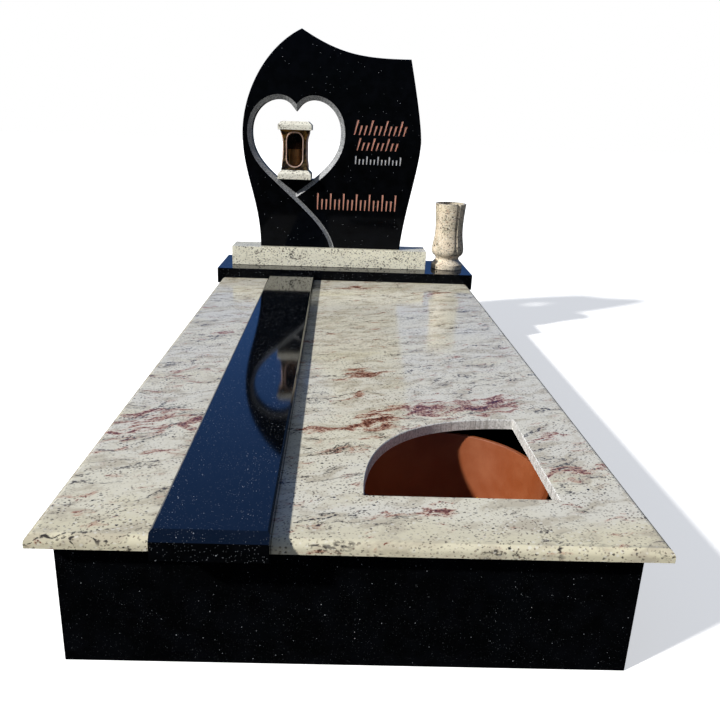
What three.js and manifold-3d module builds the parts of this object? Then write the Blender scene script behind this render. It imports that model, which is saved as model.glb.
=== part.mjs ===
// Grave monument of black and cream granite: a hollow kerb, two cover slabs with a raised strip between
// them, a plinth, and a headstone pierced by a heart that holds a lantern. A vase and a tub go with it.
// Millimetres, +Z up. +X is the viewer's right and +Y runs from the foot of the grave to the headstone.
import * as THREE from "three";
import { mergeVertices } from "three/addons/utils/BufferGeometryUtils.js";
import Module from "manifold-3d";

// Driving dimensions. X is measured from the middle of the covers, Y from their nose, Z from the ground.
const JOINT = 0.4; // bed of adhesive between two stones
const KERB = { height: 210, thickness: 40, inset: 28 };
const COVER = { width: 900, length: 1700, thickness: 20, nose: 13 };
const STRIP = { fromLeft: 176, width: 163, thickness: 42, overhang: 22, chamfer: 13, arris: 4 };
const CUTOUT = { left: 21, front: 134, width: 305, depth: 311 };
const PLINTH = { width: 932, depth: 270, thickness: 55 };
const SOCLE = { width: 722, depth: 110, height: 68, setback: 73, centreX: -61 };
const STONE = { thickness: 60, height: 751 };
// Corners and curve handles of the headstone's outline: X, and height above its bed
const OUTLINE = {
  leftFoot: [-318, 0], leftHip: [-382, 398], peak: [-174, STONE.height],
  shoulder: [208, 664], rightHip: [259, 383], rightFoot: [201, 0],
  rightFlank: [[209, 130], [259, 300]], rightArm: [[259, 447], [221, 606]],
  crown: [[30, 661], [-47, 677]],
  leftArm: [[-303, 688], [-382, 536]], leftFlank: [[-382, 256], [-318, 166]],
};
// The heart is cut through the stone above its shelf, and only carved round below it
const SHELF_HEIGHT = 247;
const HEART = { centreX: -190, halfWidth: 175, tip: 180, widest: 407, notch: 505 };
// Handles of the heart's curves, as a share of its half width and a height
const HEART_HANDLES = { tip: [0.58, 252], low: [1, 311], high: [1, 524], notch: [0.3, 573] };
const BEVEL = { width: 15, depth: 12 };
const TAIL = { width: 14.5, depth: 8, path: [[-279, 258], [-158, 146], [-66, 80], [-51, -10]] };
const ROWS = [
  { left: 15, right: 220, bottom: 408, height: 51, strokes: 11, slant: 0.22 },
  { left: 27, right: 191, bottom: 355, height: 43, strokes: 9, slant: 0.22 },
  { left: 23, right: 198, bottom: 306, height: 29, strokes: 13, slant: 0 },
  { left: -112, right: 189, bottom: 141, height: 59, strokes: 19, slant: 0 },
];
const STROKE = { depth: 1, stem: 0.42, low: 0.64, taper: 0.6, tallEvery: 3 };
const LANTERN = { centreX: -194, width: 120, footHeight: 32, bodyHeight: 138, capHeight: 29, wall: 4 };
const SLOPE = { inset: 12, from: 0.6, arris: 5 }; // the sloping top edges of the lantern's foot and cap
// The lantern body's width at shares of its height, from its foot to its flared top
const BODY_WIDTHS = [[96, 0], [86, 0.24], [82, 0.5], [89, 0.78], [97, 0.87], [105, 1]];
const WINDOW = { width: 54, height: 109, sill: 9, bead: 6, frameWidth: 103 };
const PANE = { thickness: 2, width: 58, height: 122 };
const CANDLE = { radius: 26, foot: 22, height: 70 };
const VASE = { x: 388, setback: 132, wall: 9, floor: 70 };
// The vase's radius at each height, from its foot over the waist and belly to its rim
const VASE_PROFILE = [[61, 0], [61, 16], [58, 20], [47, 34], [46, 40], [50, 47], [57, 57], [59.5, 67],
  [59, 80], [56, 100], [53, 120], [51.5, 145], [51.7, 170], [53, 195], [55, 220], [57.5, 243]];
const PANEL = { count: 4, columns: 64, turn: 24, raise: 2.5, groove: 1.5, lowest: 48, corner: 34 };
const TUB = { x: 175, y: 290, rim: 178, foot: 148, height: 192, wall: 4, lip: 9, step: 2 };

// Levels and faces that follow from them
const coverBed = KERB.height + JOINT;
const plinthTop = coverBed + PLINTH.thickness;
const socleBed = plinthTop + JOINT;
const stoneBed = socleBed + SOCLE.height + JOINT;
const monumentBack = COVER.length + PLINTH.depth;
const socleFront = COVER.length + SOCLE.setback;
const stoneFront = socleFront + (SOCLE.depth - STONE.thickness) / 2;
const stoneBack = stoneFront + STONE.thickness;
const stoneMiddle = (stoneFront + stoneBack) / 2;
const stripLeft = STRIP.fromLeft - COVER.width / 2;
const stripRight = stripLeft + STRIP.width;
const lanternBed = stoneBed + SHELF_HEIGHT + JOINT;
const bodyBed = lanternBed + LANTERN.footHeight + JOINT;
const capBed = bodyBed + LANTERN.bodyHeight + JOINT;
const overallDepth = STRIP.overhang + monumentBack;
const AIR = 60; // how far a cutter runs out of what it cuts

const wasm = await Module();
wasm.setup();

// A closed geometry as a solid that can be joined or cut
function solid(geometry) {
  const bare = geometry.clone();
  bare.deleteAttribute("normal");
  bare.deleteAttribute("uv");
  const merged = mergeVertices(bare, 1e-3);
  return new wasm.Manifold(new wasm.Mesh({
    numProp: 3,
    vertProperties: new Float32Array(merged.attributes.position.array),
    triVerts: new Uint32Array(merged.index.array),
  }));
}

// A joined or cut solid as a geometry again
function faces(cut) {
  const mesh = cut.getMesh();
  const geometry = new THREE.BufferGeometry();
  geometry.setAttribute("position", new THREE.BufferAttribute(new Float32Array(mesh.vertProperties), 3));
  geometry.setIndex(new THREE.BufferAttribute(new Uint32Array(mesh.triVerts), 1));
  const flat = geometry.toNonIndexed();
  flat.computeVertexNormals();
  return flat;
}

// A box between two corners
function block(low, high) {
  const size = high.map((value, axis) => value - low[axis]);
  const middle = high.map((value, axis) => (value + low[axis]) / 2);
  return new THREE.BoxGeometry(...size).translate(...middle);
}

// A shape with straight sides
function polygon(points) {
  return new THREE.Shape(points.map(([across, up]) => new THREE.Vector2(across, up)));
}

// A section of depth and height, run along X
function runAcross(section, from, to) {
  const turn = new THREE.Matrix4().makeBasis(
    new THREE.Vector3(0, 1, 0), new THREE.Vector3(0, 0, 1), new THREE.Vector3(1, 0, 0));
  const options = { depth: to - from, bevelEnabled: false, curveSegments: 8 };
  return new THREE.ExtrudeGeometry(section, options).applyMatrix4(turn).translate(from, 0, 0);
}

// A section of width and height, run along Y
function runBack(section, from, to, bevel = { bevelEnabled: false }) {
  const turn = new THREE.Matrix4().makeBasis(
    new THREE.Vector3(1, 0, 0), new THREE.Vector3(0, 0, 1), new THREE.Vector3(0, -1, 0));
  const options = { depth: to - from, curveSegments: 14, ...bevel };
  return new THREE.ExtrudeGeometry(section, options).applyMatrix4(turn).translate(0, to, 0);
}

// The five upright slabs of the kerb: front, sides, back, and a rib under the end of the covers
function kerbSlabs() {
  const side = COVER.width / 2 - KERB.inset;
  const inner = side - KERB.thickness;
  const between = inner - JOINT;
  const frontBack = KERB.inset + KERB.thickness;
  const back = monumentBack - KERB.inset;
  const ribFront = COVER.length - KERB.thickness / 2;
  const top = KERB.height;
  return {
    kerb_front: block([-side, KERB.inset, 0], [side, frontBack, top]),
    kerb_left: block([-side, frontBack + JOINT, 0], [-inner, back, top]),
    kerb_right: block([inner, frontBack + JOINT, 0], [side, back, top]),
    kerb_cross: block([-between, ribFront, 0], [between, ribFront + KERB.thickness, top]),
    kerb_back: block([-between, back - KERB.thickness, 0], [between, back, top]),
  };
}

// A slab's section from low to high, its top edge rounded at one or both ends
function nosedSection(low, high, roundLow, roundHigh) {
  const bottom = coverBed;
  const top = coverBed + COVER.thickness;
  const r = COVER.nose;
  const section = new THREE.Shape();
  section.moveTo(low, bottom);
  section.lineTo(high, bottom);
  if (roundHigh) {
    section.lineTo(high, top - r);
    section.absarc(high - r, top - r, r, 0, Math.PI / 2);
  } else {
    section.lineTo(high, top);
  }
  if (roundLow) {
    section.lineTo(low + r, top);
    section.absarc(low + r, top - r, r, Math.PI / 2, Math.PI);
  } else {
    section.lineTo(low, top);
  }
  return section;
}

// A cover slab, its nose rounded along the front and along its outer side, mitred at the corner
function coverSlab(left, right, roundLeft, roundRight) {
  const back = COVER.length - JOINT;
  const along = runAcross(nosedSection(0, back, true, false), left, right);
  const across = runBack(nosedSection(left, right, roundLeft, roundRight), 0, back);
  return solid(along).intersect(solid(across));
}

// The opening for plants: straight at the front and right, its left side sweeping round to the back
function cutoutPrism() {
  const { left, front, width, depth } = CUTOUT;
  const right = left + width;
  const back = front + depth;
  const opening = new THREE.Shape();
  opening.moveTo(left, front);
  opening.lineTo(right, front);
  opening.lineTo(right, back);
  opening.bezierCurveTo(left + width / 3, back, left, front + depth * 2 / 3, left, front);
  const options = { depth: 2 * AIR, bevelEnabled: false, curveSegments: 24 };
  return solid(new THREE.ExtrudeGeometry(opening, options).translate(0, 0, coverBed - AIR));
}

// The black strip: chamfered at its foot end, with a small arris along both sides
function stripSlab() {
  const { chamfer, arris } = STRIP;
  const top = coverBed + STRIP.thickness;
  const left = stripLeft + JOINT;
  const right = stripRight - JOINT;
  const foot = -STRIP.overhang;
  const back = COVER.length - JOINT;
  const along = polygon([[foot, coverBed], [back, coverBed], [back, top], [foot + chamfer, top],
    [foot, top - chamfer]]);
  const across = polygon([[left, coverBed], [right, coverBed], [right, top - arris], [right - arris, top],
    [left + arris, top], [left, top - arris]]);
  return solid(runAcross(along, left, right)).intersect(solid(runBack(across, foot, back)));
}

// The headstone's outline: up the right flank, down the swept crown to the peak, and down the left side
function stoneOutline() {
  const at = ([x, up]) => [x, stoneBed + up];
  const outline = new THREE.Shape();
  const curveTo = (handles, end) => outline.bezierCurveTo(...handles.flatMap(at), ...at(end));
  outline.moveTo(...at(OUTLINE.leftFoot));
  outline.lineTo(...at(OUTLINE.rightFoot));
  curveTo(OUTLINE.rightFlank, OUTLINE.rightHip);
  curveTo(OUTLINE.rightArm, OUTLINE.shoulder);
  curveTo(OUTLINE.crown, OUTLINE.peak);
  curveTo(OUTLINE.leftArm, OUTLINE.leftHip);
  curveTo(OUTLINE.leftFlank, OUTLINE.leftFoot);
  return outline;
}

// The heart as wide and tall as the outer edge of its bevel
function heartOutline() {
  const { centreX, halfWidth, tip, widest, notch } = HEART;
  const handle = HEART_HANDLES;
  const at = (side, [share, up]) => [centreX + side * share * halfWidth, stoneBed + up];
  const heart = new THREE.Shape();
  heart.moveTo(...at(1, [0, tip]));
  heart.bezierCurveTo(...at(1, handle.tip), ...at(1, handle.low), ...at(1, [1, widest]));
  heart.bezierCurveTo(...at(1, handle.high), ...at(1, handle.notch), ...at(1, [0, notch]));
  heart.bezierCurveTo(...at(-1, handle.notch), ...at(-1, handle.high), ...at(-1, [1, widest]));
  heart.bezierCurveTo(...at(-1, handle.low), ...at(-1, handle.tip), ...at(-1, [0, tip]));
  return heart;
}

// The part of the heart inside its bevel, through the stone, between two heights
function heartCore(low, high) {
  const drawnIn = { bevelEnabled: true, bevelSize: 0, bevelOffset: -BEVEL.width, bevelThickness: 1,
    bevelSegments: 1 };
  const prism = runBack(heartOutline(), stoneFront - AIR, stoneBack + AIR, drawnIn);
  const reach = HEART.halfWidth;
  const band = block([HEART.centreX - reach, stoneFront - 2 * AIR, low],
    [HEART.centreX + reach, stoneBack + 2 * AIR, high]);
  return solid(prism).intersect(solid(band));
}

// The ground bevel round the heart: full size at the stone's face, drawn in at its depth
function heartBevel() {
  const sloped = { bevelEnabled: true, bevelSize: BEVEL.width, bevelOffset: -BEVEL.width,
    bevelThickness: BEVEL.depth, bevelSegments: 1 };
  return solid(runBack(heartOutline(), stoneFront - AIR, stoneFront, sloped));
}

// The groove that carries the heart's left bevel on past the tip, in an S down to the stone's foot. Its
// floor slopes in from the lower left and ends in a small upright wall.
function tailGroove() {
  const half = TAIL.width / 2;
  const section = polygon([[0, half], [-TAIL.depth, -half], [AIR, -half], [AIR, half]]);
  const points = TAIL.path.map(([x, up]) => new THREE.Vector3(x, stoneFront, stoneBed + up));
  const path = new THREE.CubicBezierCurve3(...points);
  const options = { steps: 24, bevelEnabled: false, extrudePath: path };
  return solid(new THREE.ExtrudeGeometry(section, options));
}

// One shallow slanted stroke, wide at its head and narrow at its foot
function strokePrism(left, bottom, width, height, slant) {
  const lean = height * slant;
  const foot = width * STROKE.taper;
  const mark = polygon([[left, bottom], [left + foot, bottom], [left + lean + width, bottom + height],
    [left + lean, bottom + height]]);
  return solid(runBack(mark, stoneFront - AIR, stoneFront + STROKE.depth));
}

// The rows of strokes, tall and low in turn
function inscription() {
  const marks = ROWS.flatMap(({ left, right, bottom, height, strokes, slant }) => {
    const pitch = (right - left - height * slant) / strokes;
    return Array.from({ length: strokes }, (_, i) => {
      const tall = i % STROKE.tallEvery === 0 ? height : height * STROKE.low;
      return strokePrism(left + i * pitch, stoneBed + bottom, pitch * STROKE.stem, tall, slant);
    });
  });
  return marks.reduce((all, mark) => all.add(mark));
}

function headstone() {
  const shelf = stoneBed + SHELF_HEIGHT;
  const below = heartCore(stoneBed, shelf);
  const above = heartCore(shelf, stoneBed + STONE.height);
  return solid(runBack(stoneOutline(), stoneFront, stoneBack))
    .subtract(heartBevel().subtract(below))
    .subtract(above)
    .subtract(tailGroove())
    .subtract(inscription());
}

// A square block with the same section from the front and from the side
function fourSided(halfSection) {
  const mirrored = halfSection.map(([half, up]) => [-half, up]).reverse();
  const section = polygon([...halfSection, ...mirrored]);
  const reach = Math.max(...halfSection.map(([half]) => half));
  return solid(runAcross(section, -reach, reach)).intersect(solid(runBack(section, -reach, reach)));
}

// The lantern's foot and cap: square stone blocks, sloping in at the top and eased at the underside
function lanternBlock(height) {
  const half = LANTERN.width / 2;
  const { inset, from, arris } = SLOPE;
  return fourSided([[half - arris, 0], [half, arris], [half, height * from], [half - inset, height]]);
}

// The lantern body's waisted form, drawn in by an inset and run past both ends
function waisted(inset, overrun) {
  const last = BODY_WIDTHS.length - 1;
  return fourSided(BODY_WIDTHS.map(([width, share], n) => {
    const past = { 0: -overrun, [last]: overrun }[n] ?? 0;
    return [width / 2 - inset, share * LANTERN.bodyHeight + past];
  }));
}

// A rounded oblong, a window's outline grown by a rim
function windowShape(rim) {
  const radius = WINDOW.width / 2 + rim;
  const low = WINDOW.sill + WINDOW.width / 2;
  const high = WINDOW.sill + WINDOW.height - WINDOW.width / 2;
  const shape = new THREE.Shape();
  shape.absarc(0, low, radius, Math.PI, 2 * Math.PI);
  shape.absarc(0, high, radius, 0, Math.PI);
  return shape;
}

// The cast body: waisted walls, and on each side a window in a raised frame that stands forward of them
function lanternBody() {
  const frameFront = WINDOW.frameWidth / 2;
  const frameBack = PANE.width / 2 + PANE.thickness + 2 * JOINT;
  const quarterTurns = [0, 1, 2, 3].map((n) => n * 90);
  const frames = quarterTurns.map((turn) =>
    solid(runBack(windowShape(WINDOW.bead), -frameFront, -frameBack)).rotate([0, 0, turn]));
  const openings = quarterTurns.map((turn) =>
    solid(runBack(windowShape(0), -frameFront - AIR, 0)).rotate([0, 0, turn]));
  const walls = waisted(0, 0).subtract(waisted(LANTERN.wall, 1));
  const framed = frames.reduce((all, frame) => all.add(frame), walls);
  return openings.reduce((all, opening) => all.subtract(opening), framed);
}

// How far a panel stands out from the turned form, or its groove goes in, at a column and a height. A
// panel's lower end is rounded, and a groove runs down between each two panels.
function panelRaise(column, height) {
  const halfPanel = PANEL.columns / PANEL.count / 2;
  const offset = Math.abs(column % (2 * halfPanel) - halfPanel) / halfPanel;
  if (height < PANEL.lowest + PANEL.corner * offset ** 4) {
    return 0;
  }
  return offset === 1 ? -PANEL.groove : PANEL.raise;
}

// The vase: turned, hollow down to its belly, and carved with the panels
function vase() {
  const outer = VASE_PROFILE.map(([radius, height]) => new THREE.Vector2(radius - PANEL.raise, height));
  const inner = VASE_PROFILE.filter(([, height]) => height > VASE.floor).reverse()
    .map(([radius, height]) => new THREE.Vector2(radius - VASE.wall, height));
  const floor = [new THREE.Vector2(inner.at(-1).x, VASE.floor), new THREE.Vector2(0, VASE.floor)];
  const profile = [new THREE.Vector2(0, 0), ...outer, ...inner, ...floor];
  const turned = new THREE.LatheGeometry(profile, PANEL.columns);
  const corner = turned.attributes.position;
  for (let i = 0; i < corner.count; i += 1) {
    const row = i % profile.length;
    if (row > 0 && row <= VASE_PROFILE.length) {
      const [x, height, z] = [corner.getX(i), corner.getY(i), corner.getZ(i)];
      const radius = Math.hypot(x, z);
      const grown = 1 + panelRaise(Math.floor(i / profile.length), height) / radius;
      corner.setXYZ(i, x * grown, height, z * grown);
    }
  }
  return turned.rotateX(Math.PI / 2).rotateZ(THREE.MathUtils.degToRad(PANEL.turn));
}

// The tub: tapered, thin-walled, open at the top, its rim turned out
function tub() {
  const { rim, foot, height, wall, lip, step } = TUB;
  const under = rim - wall - step;
  const profile = [[0, 0], [foot, 0], [under, height - lip], [rim, height - lip], [rim, height],
    [under - wall, height], [foot - wall, wall], [0, wall]];
  return new THREE.LatheGeometry(profile.map(([r, z]) => new THREE.Vector2(r, z)), 64).rotateX(Math.PI / 2);
}

// Finishes
const BLACK_GRANITE = { color: 0x0b0d12, roughness: 0.12, metalness: 0 };
const CREAM_GRANITE = { color: 0xc8c0ae, roughness: 0.25, metalness: 0 };
const BRONZE = { color: 0x4a3218, roughness: 0.35, metalness: 0.9 };
const SMOKED_GLASS = { color: 0x2a1608, roughness: 0.08, metalness: 0 };
const CANDLE_CUP = { color: 0x5a2414, roughness: 0.4, metalness: 0 };
const TERRACOTTA = { color: 0xa2512e, roughness: 0.6, metalness: 0 };

const monument = new THREE.Group();
monument.position.y = STRIP.overhang - overallDepth / 2; // the origin stands under the middle of the whole

function place(name, shape, finish, position = [0, 0, 0]) {
  const geometry = shape.isBufferGeometry ? shape : faces(shape);
  const mesh = new THREE.Mesh(geometry, new THREE.MeshStandardMaterial(finish));
  mesh.name = name;
  mesh.position.set(...position);
  monument.add(mesh);
}

for (const [name, slab] of Object.entries(kerbSlabs())) {
  place(name, slab, BLACK_GRANITE);
}
const coverEdge = COVER.width / 2;
place("cover_left", coverSlab(-coverEdge, stripLeft, true, false), CREAM_GRANITE);
place("cover_right", coverSlab(stripRight, coverEdge, false, true).subtract(cutoutPrism()), CREAM_GRANITE);
place("cover_strip", stripSlab(), BLACK_GRANITE);
const plinthSide = PLINTH.width / 2;
place("plinth", block([-plinthSide, COVER.length, coverBed], [plinthSide, monumentBack, plinthTop]),
  BLACK_GRANITE);
place("socle", block([SOCLE.centreX - SOCLE.width / 2, socleFront, socleBed],
  [SOCLE.centreX + SOCLE.width / 2, socleFront + SOCLE.depth, socleBed + SOCLE.height]), CREAM_GRANITE);
place("headstone", headstone(), BLACK_GRANITE);

const inHeart = (z) => [LANTERN.centreX, stoneMiddle, z];
place("lantern_foot", lanternBlock(LANTERN.footHeight), CREAM_GRANITE, inHeart(lanternBed));
place("lantern_body", lanternBody(), BRONZE, inHeart(bodyBed));
place("lantern_cap", lanternBlock(LANTERN.capHeight), CREAM_GRANITE, inHeart(capBed));
place("lantern_candle", new THREE.CylinderGeometry(CANDLE.radius, CANDLE.foot, CANDLE.height, 32)
  .rotateX(Math.PI / 2).translate(0, 0, CANDLE.height / 2), CANDLE_CUP, inHeart(bodyBed));
["front", "right", "back", "left"].forEach((side, n) => {
  const half = PANE.width / 2;
  const pane = block([-half, -half - PANE.thickness - JOINT, 0], [half, -half - JOINT, PANE.height]);
  place(`lantern_pane_${side}`, pane.rotateZ(n * Math.PI / 2), SMOKED_GLASS, inHeart(bodyBed));
});

place("vase", vase(), CREAM_GRANITE, [VASE.x, COVER.length + VASE.setback, socleBed]);
place("planter_tub", tub(), TERRACOTTA, [TUB.x, TUB.y, 0]);

export default monument;
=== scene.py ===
from math import atan2, cos, hypot, pi, radians, sin, tau

import bpy
from mathutils import Matrix, Vector
from mathutils.geometry import interpolate_bezier


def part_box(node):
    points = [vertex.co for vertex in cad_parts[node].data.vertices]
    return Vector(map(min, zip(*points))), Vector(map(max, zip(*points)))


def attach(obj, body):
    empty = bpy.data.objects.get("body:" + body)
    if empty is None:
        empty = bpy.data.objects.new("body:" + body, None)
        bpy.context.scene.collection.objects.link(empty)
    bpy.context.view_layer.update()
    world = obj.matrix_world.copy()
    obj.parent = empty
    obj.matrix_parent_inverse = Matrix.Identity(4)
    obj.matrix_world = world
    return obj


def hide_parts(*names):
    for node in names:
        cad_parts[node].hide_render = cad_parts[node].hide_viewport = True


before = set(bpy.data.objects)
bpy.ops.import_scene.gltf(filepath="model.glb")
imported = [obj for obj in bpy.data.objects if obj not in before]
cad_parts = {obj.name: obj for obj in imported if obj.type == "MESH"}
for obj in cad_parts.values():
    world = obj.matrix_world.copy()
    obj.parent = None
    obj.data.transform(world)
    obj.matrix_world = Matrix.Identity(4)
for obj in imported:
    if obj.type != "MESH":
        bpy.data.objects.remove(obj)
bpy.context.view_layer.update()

# The kerb: five upright slabs of polished black granite, sawn 40 mm thick and glued end to end on the
# foundation. Four are the outer walls. The fifth runs across under the joint of the covers and the plinth.
KERB_ARRIS = 0.0015
# The black stone's ground, the bluish clouds in it, and its grains that sparkle
NEAR_BLACK = (0.0012, 0.0014, 0.0017, 1)
BLUE_BLACK = (0.0024, 0.0028, 0.0038, 1)
SPARKLE = (0.78, 0.82, 0.88, 1)
# The sparkling grains, fine to coarse: their spacing, their size, the share of them and their strength
SPARKLES = ((0.0026, 0.0012, 0.60, 0.5), (0.0056, 0.0017, 0.42, 1.0), (0.0120, 0.0023, 0.38, 1.0))
SPARKLE_CONTRAST = 1.6  # above 1, few grains are as bright as the brightest
GRAIN_CORE = 0.6  # the share of a grain's radius inside which it is full


def new_material(name, roughness, **fixed):
    """A node material and its tree. A fixed value goes straight to the shader's socket of that name."""
    material = bpy.data.materials.new(name)
    material.use_nodes = True
    shader = material.node_tree.nodes["Principled BSDF"]
    shader.inputs["Roughness"].default_value = roughness
    for socket, value in fixed.items():
        shader.inputs[socket.replace("_", " ")].default_value = value
    return material, material.node_tree


def node(tree, kind, inputs=(), **settings):
    """A shader node. An input is a number, a colour, a vector or the output of another node."""
    made = tree.nodes.new(kind)
    for setting, value in settings.items():
        setattr(made, setting, value)
    for socket, value in dict(inputs).items():
        if isinstance(value, bpy.types.NodeSocket):
            tree.links.new(value, made.inputs[socket])
        else:
            made.inputs[socket].default_value = value
    return made


def place_in(tree):
    """Where a point of the surface lies in the monument, in metres."""
    return node(tree, "ShaderNodeTexCoord").outputs["Object"]


def noise(tree, place, scale, detail=3, roughness=0.55):
    """A noise from 0 to 1. Its scale is about the number of its blotches in a metre."""
    inputs = {"Vector": place, "Scale": scale, "Detail": detail, "Roughness": roughness}
    return node(tree, "ShaderNodeTexNoise", inputs).outputs[0]


def maths(tree, operation, first, second=0.0):
    """A calculation on two values, or on one."""
    return node(tree, "ShaderNodeMath", {0: first, 1: second}, operation=operation).outputs[0]


def fade(tree, value, low, high, least=0.0, most=1.0):
    """The value turned smoothly into least at low and most at high."""
    inputs = {"Value": value, "From Min": low, "From Max": high, "To Min": least, "To Max": most}
    return node(tree, "ShaderNodeMapRange", inputs, interpolation_type="SMOOTHSTEP").outputs[0]


def laid_over(tree, share, under, over):
    """One colour over another, by a share from 0 to 1."""
    return node(tree, "ShaderNodeMix", {0: share, 6: under, 7: over}, data_type="RGBA").outputs[2]


def grains(tree, place, spacing, size, share):
    """Scattered grains: 1 on a grain and 0 between, and a random number of each grain's own."""
    cells = node(tree, "ShaderNodeTexVoronoi", {"Vector": place, "Scale": 1 / spacing})
    chance = node(tree, "ShaderNodeSeparateColor", {"Color": cells.outputs["Color"]}).outputs
    half = size / spacing / 2
    spot = fade(tree, cells.outputs["Distance"], half, half * GRAIN_CORE)
    chosen = maths(tree, "GREATER_THAN", chance["Red"], 1 - share)
    return maths(tree, "MULTIPLY", spot, chosen), chance["Green"]


def finish(tree, colour, roughness=None, bump=None, depth=0.001):
    """Gives the shader its colour and, where they vary, its roughness and its relief."""
    shader = tree.nodes["Principled BSDF"]
    tree.links.new(colour, shader.inputs["Base Color"])
    if roughness is not None:
        tree.links.new(roughness, shader.inputs["Roughness"])
    if bump is not None:
        relief = node(tree, "ShaderNodeBump", {"Height": bump, "Distance": depth})
        tree.links.new(relief.outputs[0], shader.inputs["Normal"])


def black_granite(name, mirror, sparkles=SPARKLES, sparkle=1.0):
    """Polished stone that mirrors as much as its specular level says."""
    material, tree = new_material(name, roughness=0.06, Specular_IOR_Level=mirror)
    place = place_in(tree)
    cloud = fade(tree, noise(tree, place, scale=28, detail=5), 0.35, 0.7)
    colour = laid_over(tree, cloud, NEAR_BLACK, BLUE_BLACK)
    crowded = fade(tree, noise(tree, place, scale=14, detail=2), 0.36, 0.6, least=0.35)
    for spacing, size, share, strength in sparkles:
        spots, chance = grains(tree, place, spacing, size, share)
        bright = maths(tree, "POWER", chance, SPARKLE_CONTRAST)
        bright = maths(tree, "MULTIPLY", bright, strength * sparkle)
        shown = maths(tree, "MULTIPLY", maths(tree, "MULTIPLY", spots, bright), crowded)
        colour = laid_over(tree, shown, colour, SPARKLE)
    finish(tree, colour)
    return material


def select_only(piece):
    """Selects one piece alone and makes it the active one."""
    bpy.ops.object.select_all(action="DESELECT")
    piece.select_set(True)
    bpy.context.view_layer.objects.active = piece


def block(name, low, high):
    """A block between two corners."""
    bpy.ops.object.select_all(action="DESELECT")
    bpy.ops.mesh.primitive_cube_add(size=1, location=(low + high) / 2)
    piece = bpy.context.active_object
    piece.name = name
    piece.scale = high - low
    bpy.ops.object.transform_apply()
    return piece


def ease(piece, width, segments=2, sharper_than=30):
    """Takes the sharp edges off a piece."""
    arris = piece.modifiers.new("arris", "BEVEL")
    arris.width = width
    arris.segments = segments
    arris.limit_method = "ANGLE"
    arris.angle_limit = radians(sharper_than)
    select_only(piece)
    bpy.ops.object.modifier_apply(modifier="arris")


def smooth(piece, angle=25):
    """Rounds the shading across a piece's small faces and keeps its large faces flat."""
    select_only(piece)
    bpy.ops.object.shade_smooth_by_angle(angle=radians(angle))
    flat = piece.modifiers.new("flat", "WEIGHTED_NORMAL")
    flat.keep_sharp = True
    bpy.ops.object.modifier_apply(modifier="flat")


upright_black = black_granite("polished black granite, upright", mirror=0.05)
for side in ("front", "left", "right", "cross", "back"):
    slab = block(f"{side}_kerb_slab", *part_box(f"kerb_{side}"))
    ease(slab, KERB_ARRIS)
    smooth(slab)
    slab.data.materials.append(upright_black)
    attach(slab, "root")
    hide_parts(f"kerb_{side}")

# The two cover slabs: cream granite with wine-red veins, 20 mm thick and polished, bedded on the kerb. The
# saw leaves them square, and the edges that show get a quarter-round nose. The right one has a cut-out for
# plants, straight at the front and right, with an arc from its left corner to the back.
NOSE = 0.013
CUTOUT = {"left": 0.021, "front": 0.134, "width": 0.305, "depth": 0.311, "arris": 0.0015}
AIR = 0.03  # how far a cutting tool stands out of the stone, at least
GRAIN_TURN = radians(19)
# The patches where red veins gather: their middle, half length along the grain, half width and strength
RED_PATCHES = (
    (0.28, -0.46, 0.12, 0.050, 1.0), (0.16, -0.49, 0.09, 0.055, 1.0), (0.05, -0.55, 0.06, 0.055, 1.0),
    (-0.02, -0.59, 0.10, 0.025, 0.8), (-0.01, -0.68, 0.04, 0.025, 1.0), (0.38, -0.74, 0.08, 0.030, 1.0),
    (0.37, -0.60, 0.06, 0.040, 0.6), (0.11, -0.885, 0.06, 0.025, 1.0), (0.03, -0.28, 0.07, 0.040, 0.9),
    (0.01, -0.42, 0.06, 0.030, 0.5), (0.03, 0.61, 0.09, 0.040, 0.9), (0.30, 0.56, 0.08, 0.050, 0.6),
    (-0.38, -0.56, 0.07, 0.045, 1.0), (-0.40, -0.63, 0.06, 0.030, 0.8), (-0.30, -0.58, 0.03, 0.045, 0.9),
    (-0.36, -0.30, 0.08, 0.050, 0.5), (-0.34, 0.02, 0.08, 0.030, 0.5),
)
CREAM = (0.78, 0.745, 0.61, 1)
PALE_GREY = (0.75, 0.725, 0.635, 1)
BEIGE = (0.53, 0.475, 0.36, 1)
OCHRE = (0.68, 0.61, 0.37, 1)
ROSE = (0.52, 0.29, 0.20, 1)
WHITE_GRAIN = (0.82, 0.80, 0.74, 1)
BROWN_GRAIN = (0.20, 0.155, 0.11, 1)
DARK_GRAIN = (0.05, 0.042, 0.034, 1)
BLACK_FLECK = (0.012, 0.011, 0.010, 1)
WINE = (0.17, 0.048, 0.030, 1)
DEEP_WINE = (0.05, 0.016, 0.013, 1)
# Where the covers turn ochre towards their front edge: Y where it starts and where it is full, and how far
FRONT_OCHRE = {"starts": -0.88, "full": -0.95, "share": 0.45}
# The grains, in the order they are laid on: spacing, size, the share that shows, strength, colour
GRAINS = (
    (0.0060, 0.0050, 0.40, 0.60, WHITE_GRAIN), (0.0042, 0.0032, 0.70, 0.95, BROWN_GRAIN),
    (0.0056, 0.0036, 0.50, 1.00, DARK_GRAIN), (0.0130, 0.0048, 0.40, 1.00, BLACK_FLECK),
)
SAWN_PALE = (0.78, 0.77, 0.74, 1)
SAWN_GREY = (0.46, 0.45, 0.42, 1)
SAW_MARK = (0.24, 0.22, 0.19, 1)


def along_grain(tree, place, stretch):
    """The place, with what is drawn on it stretched along the grain."""
    inputs = {"Vector": place, "Rotation": (0, 0, GRAIN_TURN), "Scale": (stretch, 1, 1)}
    return node(tree, "ShaderNodeMapping", inputs, vector_type="TEXTURE").outputs[0]


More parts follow.
